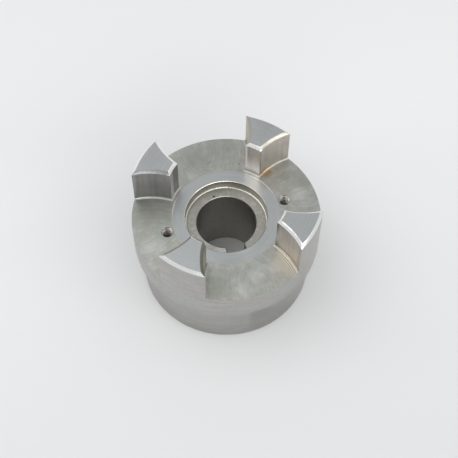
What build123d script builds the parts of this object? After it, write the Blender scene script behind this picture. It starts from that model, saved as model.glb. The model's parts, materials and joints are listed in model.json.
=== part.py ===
"""Half of a jaw coupling: a steel hub with four driving jaws, a keyed bore sleeve and its set screw.

Frame: the origin is at the centre of the back face, +Z runs along the bore towards the jaws, and +X
passes through the centre of a pocket that holds a puller hole. Millimetres.
"""
from build123d import *
import os

os.makedirs("parts", exist_ok=True)

# Hub body
outer_r = 50.0  # flange and jaws
back_r = 46.0  # turned-down back section
back_length = 32.0
hub_length = 50.0  # back face to pocket floors
edge_chamfer = 1.0
step_fillet = 0.8

# Turned land inside the jaws, and the washer recess in its middle
land_r = 29.0
land_depth = 0.2
recess_r = 22.0
recess_depth = 6.0  # below the pocket floors
recess_corner = 0.6
recess_chamfer = 0.3

# Jaws
jaw_count = 4
jaw_height = 24.0
jaw_inner_r = 31.0
flank_r = 40.0  # hollow flanks, which a spider's lobes bear on
flank_centre_x = 46.3  # centres of the two flank circles of the pocket on +X
flank_centre_y = 14.9
jaw_chamfer = 1.5
jaw_root_fillet = 1.2

# Bore sleeve and its keyway, on the -Y side
sleeve_r = 21.0
sleeve_chamfer = 0.25
bore_r = 16.0
bore_chamfer = 0.3
key_width = 10.0
key_floor = 19.3  # bore axis to keyway floor
key_chamfer = 0.5

# Punch mark on the sleeve's end, by the bore
punch_x = -1.5
punch_y = 17.3
punch_r = 0.5
punch_depth = 0.45

# M6 puller holes, tapped in two opposite pockets: nominal thread over a tapping drill
puller_pitch_r = 32.5
puller_thread_r = 3.0
puller_thread_depth = 14.0
puller_drill_r = 2.5
puller_drill_depth = 18.0
puller_mouth_r = 3.25

# M8 set screw with a cup point, on the -X side, a quarter turn from the keyway
screw_z = 22.0
screw_hole_r = 4.0
screw_mouth_r = 4.6
screw_r = 3.94
screw_length = 20.0
screw_inner_end = 16.2  # clear of a shaft in the bore
screw_end_r = 2.5
screw_end_chamfer = 0.9
socket_across_flats = 4.0
socket_depth = 5.0
cup_r = 2.0
cup_depth = 1.2

top_z = hub_length + jaw_height
sleeve_length = hub_length - recess_depth
screw_axis = Axis((0, 0, screw_z), (-1, 0, 0))


def circles_at(part, height):
    """Circular edges of a part at one height, smallest first."""
    circles = part.edges().filter_by(GeomType.CIRCLE)
    return circles.filter_by_position(Axis.Z, height, height).sort_by(SortBy.RADIUS)


def radial_plane(distance):
    """Plane that faces -X at the set screw's height, at a distance from the bore axis."""
    return Plane(origin=(-distance, 0, screw_z), x_dir=(0, 1, 0), z_dir=(-1, 0, 0))


# The space milled out between two jaws, centred on +X: a lens between two flank circles
with BuildPart() as pocket:
    with BuildSketch(Plane.XY.offset(hub_length)):
        with Locations((flank_centre_x, -flank_centre_y)):
            Circle(flank_r)
        with Locations((flank_centre_x, flank_centre_y)):
            Circle(flank_r, mode=Mode.INTERSECT)
    extrude(amount=jaw_height)
    fillet(pocket.faces().sort_by(Axis.Z)[0].edges(), jaw_root_fillet)

with BuildPart() as jaw_hub:
    # Turned body: back section, flange, rim, land, washer recess and sleeve seat
    with BuildSketch(Plane.XZ):
        with BuildLine():
            Polyline(
                (sleeve_r, 0),
                (back_r, 0),
                (back_r, back_length),
                (outer_r, back_length),
                (outer_r, top_z),
                (jaw_inner_r, top_z),
                (jaw_inner_r, hub_length),
                (land_r, hub_length),
                (land_r, hub_length - land_depth),
                (recess_r, hub_length - land_depth),
                (recess_r, sleeve_length),
                (sleeve_r, sleeve_length),
                close=True,
            )
        make_face()
    revolve(axis=Axis.Z)
    chamfer([circles_at(jaw_hub, 0)[-1], circles_at(jaw_hub, back_length)[-1]], edge_chamfer)
    fillet(circles_at(jaw_hub, back_length)[0], step_fillet)
    chamfer(circles_at(jaw_hub, hub_length - land_depth)[0], recess_chamfer)
    fillet(circles_at(jaw_hub, sleeve_length)[-1], recess_corner)
    fillet(circles_at(jaw_hub, hub_length)[-1], jaw_root_fillet)

    # Jaws: what is left of the rim when the pockets have been milled out
    with PolarLocations(0, jaw_count):
        add(pocket.part, mode=Mode.SUBTRACT)
    jaw_tops = jaw_hub.faces().filter_by(Axis.Z).sort_by(Axis.Z)[-jaw_count:]
    chamfer(jaw_tops.edges(), jaw_chamfer)

    # Tapped puller holes
    with Locations((puller_pitch_r, 0, hub_length), (-puller_pitch_r, 0, hub_length)):
        Hole(puller_drill_r, depth=puller_drill_depth)
        CounterSinkHole(puller_thread_r, puller_mouth_r, depth=puller_thread_depth, counter_sink_angle=90)

    # Tapped radial hole for the set screw
    with Locations(radial_plane(back_r)):
        CounterSinkHole(screw_hole_r, screw_mouth_r, depth=back_r - bore_r, counter_sink_angle=90)

with BuildPart() as bore_sleeve:
    with BuildSketch():
        Circle(sleeve_r)
        Circle(bore_r, mode=Mode.SUBTRACT)
    extrude(amount=sleeve_length)
    chamfer(circles_at(bore_sleeve, sleeve_length)[-1], sleeve_chamfer)
    chamfer([circles_at(bore_sleeve, 0)[0], circles_at(bore_sleeve, sleeve_length)[0]], bore_chamfer)
    with BuildSketch():
        Rectangle(key_width, key_floor, align=(Align.CENTER, Align.MAX))
    extrude(amount=sleeve_length, mode=Mode.SUBTRACT)
    straight_edges = bore_sleeve.edges().filter_by(GeomType.LINE)
    key_mouth = straight_edges.filter_by_position(Axis.Z, sleeve_length, sleeve_length)
    chamfer(key_mouth, key_chamfer)
    with Locations((punch_x, punch_y, sleeve_length)):
        Cone(0, punch_r, punch_depth, align=(Align.CENTER, Align.CENTER, Align.MAX), mode=Mode.SUBTRACT)
    with BuildSketch(radial_plane(0)):
        Circle(screw_hole_r)
    extrude(amount=outer_r, mode=Mode.SUBTRACT)

with BuildPart() as set_screw:
    screw_outer_end = screw_inner_end + screw_length
    cone_length = screw_r - screw_end_r
    with BuildSketch(Plane.XZ):
        with BuildLine():
            Polyline(
                (-screw_inner_end - cup_depth, screw_z),
                (-screw_inner_end, screw_z + cup_r),
                (-screw_inner_end, screw_z + screw_end_r),
                (-screw_inner_end - cone_length, screw_z + screw_r),
                (-screw_outer_end + screw_end_chamfer, screw_z + screw_r),
                (-screw_outer_end, screw_z + screw_r - screw_end_chamfer),
                (-screw_outer_end, screw_z),
                close=True,
            )
        make_face()
    revolve(axis=screw_axis)
    with BuildSketch(radial_plane(screw_outer_end)):
        RegularPolygon(socket_across_flats / 2, side_count=6, major_radius=False)
    extrude(amount=-socket_depth, mode=Mode.SUBTRACT)

jaw_hub.part.label = "jaw_hub"
bore_sleeve.part.label = "bore_sleeve"
set_screw.part.label = "set_screw"
export_step(jaw_hub.part, "parts/jaw_hub.step")
export_step(bore_sleeve.part, "parts/bore_sleeve.step")
export_step(set_screw.part, "parts/set_screw.step")
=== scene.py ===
"""Looks of the jaw coupling hub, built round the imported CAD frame. Metres, in the CAD's own frame."""
import json
from math import cos, hypot, pi, radians, sin

import bpy
from mathutils import Matrix, Quaternion, Vector


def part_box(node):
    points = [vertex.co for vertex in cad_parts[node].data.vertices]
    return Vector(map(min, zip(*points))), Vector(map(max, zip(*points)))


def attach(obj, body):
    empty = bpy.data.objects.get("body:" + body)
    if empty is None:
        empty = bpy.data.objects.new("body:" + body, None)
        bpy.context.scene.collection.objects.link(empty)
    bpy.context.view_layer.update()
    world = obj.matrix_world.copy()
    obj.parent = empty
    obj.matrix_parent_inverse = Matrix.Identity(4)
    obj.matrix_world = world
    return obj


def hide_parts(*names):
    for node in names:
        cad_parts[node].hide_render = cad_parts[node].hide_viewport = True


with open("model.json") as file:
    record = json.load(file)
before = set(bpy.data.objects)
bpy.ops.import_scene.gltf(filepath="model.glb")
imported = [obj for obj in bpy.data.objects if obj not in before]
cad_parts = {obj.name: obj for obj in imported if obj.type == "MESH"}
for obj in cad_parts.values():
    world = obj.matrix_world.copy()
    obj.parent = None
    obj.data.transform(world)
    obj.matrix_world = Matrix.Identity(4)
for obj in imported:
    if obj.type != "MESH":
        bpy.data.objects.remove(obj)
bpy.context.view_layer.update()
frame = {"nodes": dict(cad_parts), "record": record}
hub = frame["nodes"]["jaw_hub"]
sleeve = frame["nodes"]["bore_sleeve"]

MM = 0.001

# Places and sizes of the object, read from the frame
mounts = {mount["name"]: mount for mount in frame["record"]["mounts"]}
hub_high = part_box("jaw_hub")[1]
screw_low, screw_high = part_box("set_screw")
outer_r = hub_high.x
top_z = hub_high.z
floor_z = mounts["puller_holes"]["pos_m"][2]
puller_pitch_r = mounts["puller_holes"]["dims"]["pcd_mm"] * MM / 2
puller_r = mounts["puller_holes"]["dims"]["hole_r_mm"] * MM
recess_r = mounts["washer_recess"]["dims"]["r_mm"] * MM
screw_z = (screw_low.z + screw_high.z) / 2
screw_r = (screw_high.z - screw_low.z) / 2
screw_length = screw_high.x - screw_low.x
screw_frame = Matrix.Translation((screw_high.x, 0, screw_z)) @ Matrix.Rotation(-pi / 2, 4, "Y")
sleeve_rim_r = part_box("bore_sleeve")[1].x - 0.5 * MM  # inside the sleeve's outer chamfer

# Sizes that the record doesn't state, as in the CAD source
BACK_R = 46 * MM
LAND_R = 29 * MM
FLANK_R = 40 * MM
FLANK_CENTRE = (46.3 * MM, 14.9 * MM)
PULLER_THREAD_DEPTH = 14 * MM
PULLER_PITCH = 1.0 * MM
PULLER_CREST_R = 2.46 * MM
PULLER_THREAD_ENDS = (0.1 * MM, 0.3 * MM)  # left plain at the bottom and at the mouth
SCREW_MOUTH_R = 4.6 * MM
SCREW_PITCH = 1.25 * MM
SCREW_THREAD_DEPTH = 0.68 * MM
SCREW_CUP_R = 2.0 * MM
SCREW_CUP_DEPTH = 1.2 * MM
SCREW_POINT_R = 2.5 * MM
SCREW_END_CHAMFER = 0.9 * MM
SOCKET_ACROSS_FLATS = 4.0 * MM
SOCKET_DEPTH = 5.0 * MM
SCREW_HOLE_R = 4.0 * MM
SCREW_HOLE_FIRST_TURN = 4  # where the hole's thread begins, in turns from the screw's point
SCREW_HOLE_MOUTH = 0.6 * MM  # left plain at the mouth
SCREW_THREAD_GAP = 0.1 * MM  # between the hole's crests and the screw's roots
SCREW_MARGIN = 0.25 * MM  # left plain at each end of the screw
SOCKET_MOUTH_DEPTH = 0.3 * MM
SOCKET_CONE_DEPTH = 0.5 * MM
THREAD_GAP = 0.01 * MM  # between a thread's back and the CAD's wall
THREAD_BACK = 0.02 * MM  # least thickness of a thread
THREAD_RUN_OUT = 0.1 * MM  # height of a thread's last ridge, at its mouth
EDGE_BREAK = 0.15 * MM
FACET_ANGLE = radians(28)  # sharper edges than this stay sharp on the threads
SMALL = 0.05 * MM

# Places on the object, in millimetres
PUNCH_MARK = (-1.5, 17.3)
PUNCH_R = 0.5

# Darker patches and patches of painted sheen on the pocket floors, in millimetres: x, y, size and how strong
DARKER_PATCHES = (
    (-38, 14, 14, 0.6),
    (-4, 40, 13, 0.6),
    (10, 41, 14, 0.5),
    (-15, -38, 10, 0.6),
    (46, 9, 8, 0.6),
)
SHEEN_PATCHES = (
    (-42, -6, 9, 0.6),
    (4.5, -38.6, 6, 0.7),
    (12.9, -36.4, 6, 0.5),
    (-6, -45, 6, 0.5),
    (41, 1, 7, 0.7),
)
PITS = ((0.6, 34.6), (1.8, 35.6), (16.7, 29.5), (31, 19.5))

# Camera: how far round, how high, how far off, and what it looks at
VIEW_AZIMUTH = radians(-18.5)
VIEW_ELEVATION = radians(59.2)
VIEW_ROLL = radians(0.64)
VIEW_DISTANCE = 0.5361
VIEW_AIM = Vector((-0.0012, -0.0081, floor_z))
FOCAL_LENGTH = 80.4
SENSOR_WIDTH = 36

# Studio. Lamps: name, azimuth and elevation in degrees, distance, size and power
WORLD_STRENGTH = 0.66
FLOOR_HALF_WIDTH = 3.0
LAMPS = (
    ("front_softbox", 14, 30, 0.9, (1.5, 0.35), 4.1),
    ("upper_softbox", -110, 60, 1.2, (1.1, 1.1), 4.2),
    ("right_fill", 65, 50, 1.2, (0.8, 0.8), 0.6),
)


def from_angles(azimuth, elevation):
    """Unit vector towards a viewer or lamp. Azimuth 0 is the -Y side, 90 degrees the +X side."""
    return Vector((sin(azimuth) * cos(elevation), -cos(azimuth) * cos(elevation), sin(elevation)))


def add_camera():
    back = from_angles(VIEW_AZIMUTH, VIEW_ELEVATION)
    camera = bpy.data.objects.new("camera", bpy.data.cameras.new("camera"))
    camera.data.lens = FOCAL_LENGTH
    camera.data.sensor_width = SENSOR_WIDTH
    camera.location = VIEW_AIM + back * VIEW_DISTANCE
    camera.rotation_mode = "QUATERNION"
    level = (-back).to_track_quat("-Z", "Y")
    camera.rotation_quaternion = level @ Quaternion((0, 0, 1), VIEW_ROLL)
    bpy.context.scene.collection.objects.link(camera)
    bpy.context.scene.camera = camera


def add_area_light(name, azimuth, elevation, distance, size, power):
    """Oblong softbox that faces the middle of the object."""
    light = bpy.data.lights.new(name, "AREA")
    light.shape = "RECTANGLE"
    light.size, light.size_y = size
    light.energy = power
    lamp = bpy.data.objects.new(name, light)
    towards = from_angles(radians(azimuth), radians(elevation))
    lamp.location = Vector((0, 0, floor_z)) + towards * distance
    lamp.rotation_mode = "QUATERNION"
    lamp.rotation_quaternion = (-towards).to_track_quat("-Z", "Y")
    bpy.context.scene.collection.objects.link(lamp)


def add_studio():
    """Pale floor with painted shade towards the front, soft grey surroundings and the lamps."""
    world = bpy.data.worlds.new("studio")
    world.use_nodes = True
    background = world.node_tree.nodes["Background"]
    background.inputs["Color"].default_value = (0.97, 0.985, 1.0, 1)
    background.inputs["Strength"].default_value = WORLD_STRENGTH
    bpy.context.scene.world = world
    bpy.context.scene.view_settings.view_transform = "Standard"

    floor_mesh = bpy.data.meshes.new("floor")
    half = FLOOR_HALF_WIDTH
    corners = [(-half, -half, 0), (half, -half, 0), (half, half, 0), (-half, half, 0)]
    floor_mesh.from_pydata(corners, [], [(0, 1, 2, 3)])
    floor = bpy.data.objects.new("floor", floor_mesh)
    bpy.context.scene.collection.objects.link(floor)
    paper = Surface("paper", (0.85, 0.85, 0.85), roughness=0.9, metallic=0)
    # Painted shade: the paper darkens towards the front.
    painted_front_shade = paper.spread(paper.y, 0.08, -0.16)
    paper.tint(painted_front_shade, (0.70, 0.70, 0.70))
    floor_mesh.materials.append(paper.material)

    for lamp in LAMPS:
        add_area_light(*lamp)


class Surface:
    """A procedural material: one Principled shader and short calls that add the nodes before it."""

    def __init__(self, name, colour, roughness, metallic=1.0):
        self.material = bpy.data.materials.new(name)
        self.material.use_nodes = True
        self.tree = self.material.node_tree
        self.shader = self.tree.nodes["Principled BSDF"]
        self.shader.inputs["Base Color"].default_value = (*colour, 1)
        self.shader.inputs["Roughness"].default_value = roughness
        self.shader.inputs["Metallic"].default_value = metallic
        self.base = colour
        coordinates = self.node("ShaderNodeTexCoord").outputs["Object"]
        split = self.node("ShaderNodeSeparateXYZ")
        self.feed(split.inputs[0], coordinates)
        self.x, self.y, self.z = split.outputs

    def node(self, kind, **settings):
        made = self.tree.nodes.new(kind)
        for key, value in settings.items():
            setattr(made, key, value)
        return made

    def feed(self, socket, value):
        """Links an output to an input, or sets the input's own value."""
        if isinstance(value, bpy.types.NodeSocket):
            self.tree.links.new(value, socket)
        else:
            socket.default_value = value

    def math(self, operation, *values):
        made = self.node("ShaderNodeMath", operation=operation)
        for socket, value in zip(made.inputs, values):
            self.feed(socket, value)
        return made.outputs[0]

    def length(self, a, b):
        """Length of the flat vector (a, b)."""
        return self.math("SQRT", self.math("ADD", self.math("MULTIPLY", a, a), self.math("MULTIPLY", b, b)))

    def from_axis(self):
        return self.length(self.x, self.y)

    def vector(self, x, y, z):
        made = self.node("ShaderNodeCombineXYZ")
        for socket, value in zip(made.inputs, (x, y, z)):
            self.feed(socket, value)
        return made.outputs[0]

    def noise(self, vector, scale, detail=3.0, rough=0.55):
        made = self.node("ShaderNodeTexNoise")
        self.feed(made.inputs["Vector"], vector)
        made.inputs["Scale"].default_value = scale
        made.inputs["Detail"].default_value = detail
        made.inputs["Roughness"].default_value = rough
        return made.outputs[0]

    def spread(self, value, low, high, out_low=0.0, out_high=1.0):
        """Maps low..high to out_low..out_high, clamped."""
        made = self.node("ShaderNodeMapRange")
        names = ("From Min", "From Max", "To Min", "To Max")
        for name, number in zip(names, (low, high, out_low, out_high)):
            made.inputs[name].default_value = number
        self.feed(made.inputs["Value"], value)
        return made.outputs[0]

    def both(self, a, b):
        return self.math("MULTIPLY", a, b)

    def lines(self, distance, spacing):
        """Uneven cutter or lathe lines, where distance is the coordinate across them."""
        across = self.math("MULTIPLY", distance, 1 / spacing)
        return self.noise(self.vector(across, 0.0, 0.0), 1.0, 2.0, 0.7)

    def streaks(self, across, width, length):
        """Tool marks about one width across, that run for about one length before they fade."""
        x = self.math("MULTIPLY", self.x, 1 / length)
        y = self.math("MULTIPLY", self.y, 1 / length)
        return self.noise(self.vector(x, y, self.math("MULTIPLY", across, 1 / width)), 1.0, 2.0, 0.6)

    def patches(self, size, seed=0.0, flatten=1.0):
        """Soft blotches about one size across, and flatten times less high than wide."""
        level = self.math("MULTIPLY", self.math("ADD", self.z, seed), flatten)
        return self.noise(self.vector(self.x, self.y, level), 1 / size, 3.0, 0.6)

    def spot(self, x, y, size):
        """1 round the point x, y of the object, fading to 0 about one size away, with a ragged rim."""
        distance = self.length(self.math("SUBTRACT", self.x, x * MM), self.math("SUBTRACT", self.y, y * MM))
        rim = self.math("MULTIPLY", self.patches(size * MM / 2, 0.03), size * MM)
        return self.spread(self.math("ADD", distance, rim), 0.7 * size * MM, 1.4 * size * MM, 1, 0)

    def tint(self, amount, colour):
        """Mixes a colour into the base where amount, 0 to 1, is high."""
        mix = self.node("ShaderNodeMix", data_type="RGBA")
        factor, under, over = (socket for socket in mix.inputs if socket.enabled)
        socket = self.shader.inputs["Base Color"]
        self.feed(under, socket.links[0].from_socket if socket.is_linked else (*self.base, 1))
        self.feed(over, (*colour, 1))
        self.feed(factor, amount)
        self.feed(socket, next(output for output in mix.outputs if output.enabled))

    def vary_roughness(self, value, low, high):
        self.feed(self.shader.inputs["Roughness"], self.spread(value, 0.3, 0.7, low, high))

    def bump(self, height, distance):
        """Adds a relief, distance metres deep, on top of any earlier one."""
        made = self.node("ShaderNodeBump")
        made.inputs["Strength"].default_value = 1.0
        made.inputs["Distance"].default_value = distance
        self.feed(made.inputs["Height"], height)
        socket = self.shader.inputs["Normal"]
        if socket.is_linked:
            self.feed(made.inputs["Normal"], socket.links[0].from_socket)
        self.feed(socket, made.outputs[0])


def turned_face():
    """Faced on the lathe: fine rings, cool grey, painted highlights on the land and painted shade on the left
    and back jaw tops.
    """
    made = Surface("turned_face", (0.49, 0.51, 0.51), 0.36)
    radius = made.from_axis()
    blotches = made.patches(12 * MM)
    made.tint(made.spread(blotches, 0.45, 0.7, 0, 0.5), (0.50, 0.485, 0.47))
    made.tint(made.spread(made.patches(3 * MM, 0.06), 0.5, 0.75, 0, 0.3), (0.44, 0.455, 0.45))
    below_jaws = made.spread(made.z, floor_z + 1 * MM, floor_z + 2 * MM, 1, 0)
    # Painted highlight: a pale line along the land's outer edge, by the back jaw and by the left jaw.
    land_edge_highlight = made.both(made.spread(radius, LAND_R - 0.7 * MM, LAND_R - 0.3 * MM), below_jaws)
    for edge_x, edge_y, size in ((25, 15, 14), (-25, 14, 8)):
        made.tint(made.both(land_edge_highlight, made.spot(edge_x, edge_y, size)), (0.95, 0.95, 0.93))
    # Painted sheen: a pale pinkish patch on the land near the back jaw.
    made.tint(made.both(made.spot(24, 11, 9), 0.25), (0.72, 0.68, 0.67))
    # Painted shade on the tops of the left and back jaws, and a darker patch on the land in front.
    for dark_x, dark_y, size, amount in ((-31, 31, 12, 0.45), (33, 33, 12, 0.45), (-7, -25, 11, 0.6)):
        made.tint(made.both(made.spot(dark_x, dark_y, size), amount), (0.40, 0.415, 0.41))
    rings = made.lines(radius, 0.25 * MM)
    marks = made.streaks(radius, 0.45 * MM, 14 * MM)
    made.tint(made.spread(marks, 0.48, 0.66, 0, 0.35), (0.43, 0.455, 0.455))
    made.tint(made.spread(marks, 0.47, 0.32, 0, 0.35), (0.60, 0.625, 0.625))
    made.tint(made.spread(rings, 0.5, 0.75, 0, 0.25), (0.42, 0.44, 0.44))
    made.vary_roughness(blotches, 0.28, 0.42)
    made.bump(rings, 0.015 * MM)
    return made.material


def milled_floor():
    """Pocket floor: cutter sweeps that follow the flanks, stains, darker patches, painted sheen, a painted
    highlight along a jaw's root and small pits.
    """
    made = Surface("milled_floor", (0.45, 0.46, 0.42), 0.40)
    x, y = made.math("ABSOLUTE", made.x), made.math("ABSOLUTE", made.y)
    along = made.math("SUBTRACT", made.math("MAXIMUM", x, y), FLANK_CENTRE[0])
    across = made.math("ADD", made.math("MINIMUM", x, y), FLANK_CENTRE[1])
    sweep = made.length(along, across)
    fine = made.lines(sweep, 0.5 * MM)
    broad = made.lines(sweep, 3 * MM)
    strokes = made.streaks(sweep, 1.1 * MM, 16 * MM)
    blotches = made.patches(14 * MM, 0.02)
    made.tint(made.spread(blotches, 0.42, 0.62, 0, 0.6), (0.46, 0.435, 0.395))
    made.tint(made.spread(strokes, 0.5, 0.66, 0, 0.35), (0.38, 0.39, 0.36))
    made.tint(made.spread(made.patches(7 * MM, 0.04), 0.5, 0.68, 0, 0.45), (0.55, 0.56, 0.53))
    mottle = made.patches(4 * MM, 0.07)
    made.tint(made.spread(mottle, 0.48, 0.62, 0, 0.35), (0.36, 0.36, 0.335))
    made.tint(made.spread(mottle, 0.48, 0.34, 0, 0.45), (0.58, 0.58, 0.555))
    marks = made.streaks(sweep, 0.55 * MM, 11 * MM)
    made.tint(made.spread(marks, 0.47, 0.62, 0, 0.3), (0.35, 0.36, 0.325))
    made.tint(made.spread(marks, 0.46, 0.32, 0, 0.3), (0.60, 0.605, 0.57))
    for place_x, place_y, size, amount in DARKER_PATCHES:
        made.tint(made.both(made.spot(place_x, place_y, size), amount), (0.33, 0.34, 0.30))
    # Painted sheen: lighter patches streaked along the cutter strokes.
    for place_x, place_y, size, amount in SHEEN_PATCHES:
        streaked = made.spread(strokes, 0.35, 0.6, 0.4 * amount, amount)
        made.tint(made.both(made.spot(place_x, place_y, size), streaked), (0.68, 0.68, 0.64))
    crossed = made.both(made.spread(broad, 0.5, 0.75, 0, 0.25), made.spread(fine, 0.3, 0.6))
    made.tint(crossed, (0.64, 0.64, 0.60))
    wave = made.math("SINE", made.math("MULTIPLY", sweep, 2 * pi / (1.1 * MM)))
    by_flank = made.spread(sweep, FLANK_R - 5 * MM, FLANK_R - 2 * MM)
    arcs = made.both(made.both(made.spread(wave, 0.1, 0.9), by_flank), made.spot(21, -35, 14))
    made.tint(made.both(made.spot(19, -36, 12), 0.5), (0.66, 0.61, 0.53))
    made.tint(arcs, (0.97, 0.90, 0.74))
    grooves = made.both(made.both(made.spread(wave, -0.2, -0.9), by_flank), made.spot(21, -35, 14))
    made.tint(made.both(grooves, 0.6), (0.30, 0.28, 0.23))
    made.tint(made.both(made.spot(28.5, 20.2, 4.5), 0.8), (0.42, 0.25, 0.10))
    # Painted highlight: a golden line on the floor along the back jaw's root fillet.
    root_highlight = made.both(made.spread(sweep, FLANK_R - 1.7 * MM, FLANK_R - 1.2 * MM), made.spot(31, 21, 7))
    made.tint(made.both(root_highlight, 0.7), (0.66, 0.50, 0.32))
    for place_x, place_y in PITS:
        made.tint(made.spot(place_x, place_y, 0.8), (0.25, 0.24, 0.20))
    made.vary_roughness(blotches, 0.32, 0.46)
    made.bump(fine, 0.018 * MM)
    made.bump(broad, 0.012 * MM)
    return made.material


def milled_side(name, colour, stain, roughness, contrast):
    """Flank or inner face of a jaw: lines down the cutter's travel and painted shade at the root, contrast
    giving how dark both are.
    """
    made = Surface(name, colour, roughness)
    streaks = made.noise(made.vector(made.x, made.y, made.math("MULTIPLY", made.z, 0.02)), 1800, 2.0, 0.6)
    wide_streaks = made.noise(made.vector(made.x, made.y, made.math("MULTIPLY", made.z, 0.05)), 420, 2.0, 0.6)
    made.tint(made.spread(made.patches(9 * MM, 0.05), 0.45, 0.65, 0, 0.6), stain)
    darker = tuple(0.7 * channel for channel in colour)
    made.tint(made.spread(wide_streaks, 0.5, 0.7, 0, contrast), darker)
    # Painted shade: the face darkens towards its root, where it meets the floor.
    root = made.spread(made.z, floor_z + 0.5 * MM, floor_z + 4 * MM, contrast, 0)
    made.tint(root, darker)
    made.vary_roughness(streaks, roughness - 0.08, roughness + 0.08)
    made.bump(streaks, 0.02 * MM)
    return made.material


def turned_wall():
    """Outside of the hub: faint turning lines round it, soft clouds of tone and painted shade towards its
    foot.
    """
    made = Surface("turned_wall", (0.47, 0.475, 0.455), 0.38)
    clouds = made.patches(16 * MM, 0.08, 1.8)
    made.tint(made.spread(clouds, 0.42, 0.65, 0, 0.7), (0.50, 0.445, 0.43))
    made.tint(made.spread(made.patches(5 * MM, 0.01, 2.5), 0.5, 0.72, 0, 0.5), (0.40, 0.405, 0.38))
    made.tint(made.spread(made.patches(1.6 * MM, 0.03, 2.0), 0.56, 0.70, 0, 0.55), (0.34, 0.335, 0.31))
    made.tint(made.spread(made.patches(2.2 * MM, 0.05, 1.6), 0.46, 0.34, 0, 0.4), (0.58, 0.58, 0.565))
    # Painted shade: the wall darkens towards its foot, next to the floor.
    made.tint(made.spread(made.z, 2 * MM, 34 * MM, 0.55, 0), (0.33, 0.33, 0.31))
    made.vary_roughness(clouds, 0.30, 0.44)
    rings = made.lines(made.z, 0.3 * MM)
    marks = made.streaks(made.z, 0.6 * MM, 18 * MM)
    made.tint(made.spread(marks, 0.48, 0.66, 0, 0.5), (0.37, 0.37, 0.35))
    made.tint(made.spread(marks, 0.47, 0.32, 0, 0.5), (0.56, 0.56, 0.54))
    made.tint(made.spread(rings, 0.5, 0.72, 0, 0.2), (0.36, 0.36, 0.34))
    made.bump(rings, 0.015 * MM)
    return made.material


def bright_edge(name, colour, roughness):
    """Chamfers and small corner radii, cut last and left shiny."""
    made = Surface(name, colour, roughness)
    blotches = made.patches(1.5 * MM)
    made.tint(made.spread(blotches, 0.5, 0.7, 0, 0.4), tuple(0.85 * channel for channel in colour))
    made.tint(made.both(made.spot(42, 23, 6), 0.35), (0.72, 0.60, 0.42))
    made.vary_roughness(blotches, roughness - 0.05, roughness + 0.08)
    made.bump(made.patches(0.5 * MM), 0.006 * MM)
    return made.material


def dark_bore():
    """Walls of the bore and the recess."""
    made = Surface("bored_wall", (0.42, 0.415, 0.39), 0.36)
    made.tint(made.spread(made.patches(8 * MM), 0.45, 0.65, 0, 0.6), (0.40, 0.375, 0.325))
    made.tint(made.spread(made.patches(2 * MM, 0.02, 0.5), 0.5, 0.7, 0, 0.5), (0.34, 0.33, 0.28))
    made.bump(made.lines(made.z, 0.25 * MM), 0.012 * MM)
    return made.material


def sleeve_face():
    """End of the sleeve: grainy and a little warmer than the hub."""
    made = Surface("sleeve_face", (0.42, 0.415, 0.38), 0.42)
    grain = made.patches(0.7 * MM)
    made.tint(made.spread(made.patches(6 * MM), 0.45, 0.65, 0, 0.5), (0.40, 0.37, 0.31))
    made.tint(made.spread(grain, 0.52, 0.66, 0, 0.7), (0.26, 0.255, 0.22))
    made.tint(made.spread(made.patches(1.8 * MM, 0.02), 0.47, 0.33, 0, 0.6), (0.56, 0.555, 0.50))
    made.tint(made.both(made.spot(-7.5, -17, 6), 0.6), (0.56, 0.56, 0.545))
    made.tint(made.spot(*PUNCH_MARK, 1.1), (0.05, 0.045, 0.04))
    made.vary_roughness(grain, 0.32, 0.52)
    made.bump(grain, 0.03 * MM)
    return made.material


def black_oxide():
    """Alloy steel screw."""
    made = Surface("black_oxide", (0.045, 0.045, 0.05), 0.38, metallic=0.8)
    worn = made.patches(1.2 * MM)
    made.tint(made.spread(worn, 0.6, 0.72, 0, 0.6), (0.16, 0.15, 0.145))
    made.vary_roughness(worn, 0.3, 0.5)
    made.bump(made.patches(0.4 * MM), 0.01 * MM)
    return made.material


def cut_thread():
    """Tapped steel: bright crests with oil stains between them, and painted shade deeper in the hole."""
    made = Surface("cut_thread", (0.70, 0.68, 0.64), 0.22)
    stains = made.patches(1.5 * MM)
    made.tint(made.spread(stains, 0.42, 0.6, 0, 0.8), (0.20, 0.15, 0.12))
    # Painted shade: darker deeper down the hole.
    made.tint(made.spread(made.z, floor_z - 6 * MM, floor_z - 1 * MM, 0.8, 0), (0.10, 0.085, 0.075))
    made.vary_roughness(stains, 0.22, 0.40)
    made.bump(made.patches(0.3 * MM), 0.008 * MM)
    return made.material


class Rings:
    """A closed mesh made of rings round an axis. Equal points are shared, and no face lacks area."""

    COLUMNS = 48

    def __init__(self):
        self.numbers = {}
        self.faces = []

    def number(self, radius, angle, along):
        point = (radius * cos(angle), radius * sin(angle), along)
        key = tuple(round(value / (0.1 * MM * MM)) for value in point)
        return self.numbers.setdefault(key, (len(self.numbers), point))[0]

    def join(self, low, high):
        """Faces between two rings. A ring maps a column to a radius and a place along the axis."""
        for column in range(self.COLUMNS):
            corners = []
            for ring, at in ((low, column), (low, column + 1), (high, column + 1), (high, column)):
                radius, along = ring(at)
                number = self.number(radius, 2 * pi * at / self.COLUMNS, along)
                if number not in corners:
                    corners.append(number)
            if len(corners) > 2:
                self.faces.append(corners)

    def stack(self, rings):
        for low, high in zip(rings, rings[1:]):
            self.join(low, high)

    def finish(self, name, matrix, material):
        mesh = bpy.data.meshes.new(name)
        mesh.from_pydata([point for _, point in self.numbers.values()], [], self.faces)
        mesh.transform(matrix)
        mesh.update()
        mesh.shade_smooth()
        mesh.set_sharp_from_angle(angle=FACET_ANGLE)
        mesh.materials.append(material)
        made = bpy.data.objects.new(name, mesh)
        bpy.context.scene.collection.objects.link(made)
        return made


def circle(radius, along):
    return lambda column: (radius, along)


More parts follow.
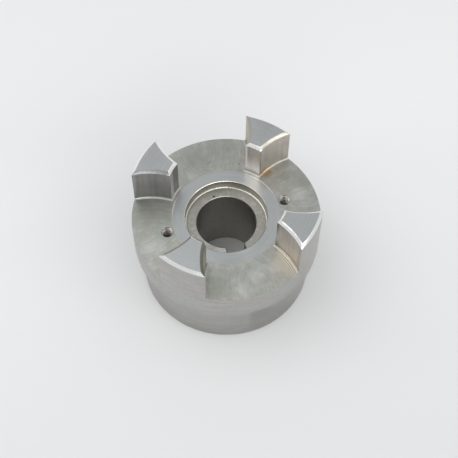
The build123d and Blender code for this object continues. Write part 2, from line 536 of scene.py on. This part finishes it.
def hexagon(across_flats, along):
    """Ring of a hexagon, with corners on every eighth column."""
    side = pi / 3
    return lambda column: (across_flats / 2 / cos((2 * pi * column / Rings.COLUMNS) % side - side / 2), along)


def helix(start, end, pitch, profile, trim):
    """Rings that climb one pitch a turn.

    profile gives (share of the pitch, radius), and trim bounds the radius at a place along the axis.
    """
    turns = round((end - start) / pitch) + 2

    def ring(offset, radius):
        def at(column):
            along = start + offset + pitch * column / Rings.COLUMNS
            if not start < along < end:
                along = min(max(along, start), end)
                return trim(None, along), along
            return trim(radius, along), along

        return at

    return [ring((turn + share) * pitch, radius) for turn in range(-1, turns) for share, radius in profile]


def screw_thread():
    """The set screw with its real thread, hexagon socket and cup point."""
    crest, root = screw_r, screw_r - SCREW_THREAD_DEPTH
    end_r = screw_r - SCREW_END_CHAMFER
    cone_start, cone_end = SCREW_MARGIN, screw_length - SCREW_MARGIN

    def trim(radius, along):
        from_point = SCREW_POINT_R + along
        from_socket = end_r + screw_length - along
        return min(radius or root, from_point, from_socket)

    profile = ((0, root), (0.25, root), (0.5625, crest), (0.6875, crest))
    made = Rings()
    socket_floor = screw_length - SOCKET_DEPTH
    made.stack(
        [circle(0, SCREW_CUP_DEPTH), circle(SCREW_CUP_R, 0), circle(SCREW_POINT_R, 0)]
        + [circle(trim(None, cone_start), cone_start)]
        + helix(cone_start, cone_end, SCREW_PITCH, profile, trim)
        + [circle(trim(None, cone_end), cone_end), circle(trim(None, screw_length), screw_length)]
        + [circle(SOCKET_ACROSS_FLATS * 0.6, screw_length)]
        + [hexagon(SOCKET_ACROSS_FLATS, screw_length - SOCKET_MOUTH_DEPTH)]
        + [hexagon(SOCKET_ACROSS_FLATS, socket_floor), circle(0, socket_floor - SOCKET_CONE_DEPTH)]
    )
    screw = made.finish("threaded_set_screw", screw_frame, black_oxide())
    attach(screw, "set_screw")
    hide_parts("set_screw")


def tapped_thread(name, steel, start, end, pitch, hole_r, crest, profile, matrix):
    """A tapped thread on the wall of a hole: ridges inside, and a plain back against the CAD's wall."""
    wall = hole_r - THREAD_GAP
    root = wall - THREAD_BACK

    def trim(radius, along):
        mouth = wall - THREAD_RUN_OUT - (end - along)
        return min(max(radius or root, mouth), root)

    made = Rings()
    made.stack(
        [circle(wall, start)]
        + helix(start, end, pitch, profile(root, crest), trim)
        + [circle(wall, end), circle(wall, start)]
    )
    thread = made.finish(name, matrix, steel)
    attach(thread, "hub")


def puller_thread(name, steel, x):
    """M6 thread of the puller hole at x."""

    def profile(root, crest):
        return ((0, root), (0.125, root), (0.4375, crest), (0.6875, crest))

    bottom = floor_z - PULLER_THREAD_DEPTH + PULLER_THREAD_ENDS[0]
    top = floor_z - PULLER_THREAD_ENDS[1]
    matrix = Matrix.Translation((x, 0, 0))
    tapped_thread(name, steel, bottom, top, PULLER_PITCH, puller_r, PULLER_CREST_R, profile, matrix)


def screw_hole_thread(steel):
    """The hub's thread for the set screw. Its ridges lie in the screw's grooves, with a small clearance."""

    def profile(root, crest):
        return ((0.0625, crest), (0.1875, crest), (0.468, root), (0.782, root))

    start = SCREW_MARGIN + SCREW_HOLE_FIRST_TURN * SCREW_PITCH
    end = BACK_R + screw_high.x - SCREW_HOLE_MOUTH
    crest = screw_r - SCREW_THREAD_DEPTH + SCREW_THREAD_GAP
    name = "screw_hole_thread"
    tapped_thread(name, steel, start, end, SCREW_PITCH, SCREW_HOLE_R, crest, profile, screw_frame)


def give_materials(obj, materials, choose):
    """Puts the materials in the object's slots, and gives each face the one that choose names."""
    names = list(materials)
    obj.data.materials.clear()
    for name in names:
        obj.data.materials.append(materials[name])
    for face in obj.data.polygons:
        centre = face.center
        face.material_index = names.index(choose(centre, face.normal, hypot(centre.x, centre.y)))


def hub_region(centre, normal, radius):
    """Which finish a face of the hub has, by its place and the way it faces."""
    in_puller_hole = hypot(abs(centre.x) - puller_pitch_r, centre.y) < puller_r * 1.2
    if in_puller_hole and centre.z < floor_z + SMALL:
        return "hole"
    if hypot(centre.y, centre.z - screw_z) < SCREW_MOUTH_R and -BACK_R + SMALL < centre.x < -recess_r:
        return "hole"
    if normal.z > 0.99:
        if centre.z > top_z - SMALL or radius < LAND_R:
            return "turned"
        return "floor"
    if centre.z > floor_z + SMALL:
        return jaw_region(centre, normal, radius)
    if radius < recess_r + SMALL:
        return "rim" if 0.3 < normal.z else "bore"
    if radius < recess_r + 1 * MM:
        return "rim"
    return "wall"


def jaw_region(centre, normal, radius):
    """The sides of each jaw: copies of one milled finish, lighter or darker by jaw and by the way each face
    faces, which is painted light and shade.
    """
    left, behind = centre.x < 0, centre.y > 0
    if normal.z > 0.3 and centre.z > top_z - 2 * MM:
        return jaw_edge(normal, left, behind)
    if radius > outer_r - SMALL:
        return "wall"
    if normal.z > 0.3:
        return "floor"
    # Painted shade: a darker copy for the left jaw's front flank.
    if left and behind and normal.y < -0.7:
        return "dull_side"
    # Painted light: lighter copies for the inner faces, lightest and pinkish on the back jaw.
    inwards = -(normal.x * centre.x + normal.y * centre.y) / radius
    if inwards > 0.9:
        return "pale_side" if behind and not left else "inner_side"
    return "side"


def jaw_edge(normal, left, behind):
    """The chamfer round a jaw's top is bright, apart from a few edges that get darker copies of the bright
    finish, chosen by jaw and facing: painted shade.
    """
    # Painted shade: darker copies of the bright edge for a few chamfers, chosen by jaw and facing.
    if left and behind and normal.y < -0.6:
        return "worn_edge"
    if behind and not left and normal.x < -0.6:
        return "tarnished_edge"
    if behind and not left and normal.y < -0.6:
        return "tarnished_edge"
    if left and not behind and normal.x > 0.6:
        return "stained_edge"
    return "edge"


def sleeve_region(centre, normal, radius):
    """Which finish a face of the sleeve has."""
    in_punch_mark = hypot(centre.x - PUNCH_MARK[0] * MM, centre.y - PUNCH_MARK[1] * MM) < PUNCH_R * MM
    if abs(normal.z) > 0.99 or in_punch_mark:
        return "face"
    return "rim" if normal.z > 0.3 and radius > sleeve_rim_r else "bore"


def break_edges(obj, width):
    """Rounds the sharp edges a little, as deburring leaves them."""
    weld = obj.modifiers.new("weld", "WELD")
    weld.merge_threshold = 1e-6
    bevel = obj.modifiers.new("edge_break", "BEVEL")
    bevel.width = width
    bevel.segments = 2
    bevel.limit_method = "ANGLE"
    bevel.angle_limit = radians(25)
    bevel.harden_normals = True


add_camera()
add_studio()
break_edges(hub, EDGE_BREAK)

bore = dark_bore()
rim = bright_edge("rubbed_rim", (0.80, 0.77, 0.66), 0.26)
give_materials(
    hub,
    {
        "turned": turned_face(),
        "floor": milled_floor(),
        "side": milled_side("milled_side", (0.56, 0.52, 0.48), (0.48, 0.41, 0.35), 0.44, 0.55),
        # Painted light and shade: lighter and darker copies of the milled side, chosen by jaw and facing.
        "inner_side": milled_side("inner_side", (0.70, 0.66, 0.62), (0.64, 0.58, 0.51), 0.44, 0.5),
        "dull_side": milled_side("dull_side", (0.35, 0.345, 0.34), (0.29, 0.28, 0.29), 0.46, 0.6),
        "pale_side": milled_side("pale_side", (0.98, 0.90, 0.84), (0.90, 0.82, 0.76), 0.42, 0.3),
        "wall": turned_wall(),
        "edge": bright_edge("bright_edge", (0.99, 0.985, 0.97), 0.21),
        # Painted shade: darker copies of the bright edge, one of them warmer, for chamfers chosen by jaw and
        # facing.
        "worn_edge": bright_edge("worn_edge", (0.33, 0.33, 0.325), 0.37),
        "tarnished_edge": bright_edge("tarnished_edge", (0.50, 0.475, 0.41), 0.32),
        "stained_edge": bright_edge("stained_edge", (0.24, 0.245, 0.20), 0.40),
        "rim": rim,
        "bore": bore,
        "hole": bore,
    },
    hub_region,
)
give_materials(sleeve, {"face": sleeve_face(), "rim": rim, "bore": bore}, sleeve_region)

tapped_steel = cut_thread()
screw_thread()
screw_hole_thread(tapped_steel)
puller_thread("puller_thread_right", tapped_steel, puller_pitch_r)
puller_thread("puller_thread_left", tapped_steel, -puller_pitch_r)
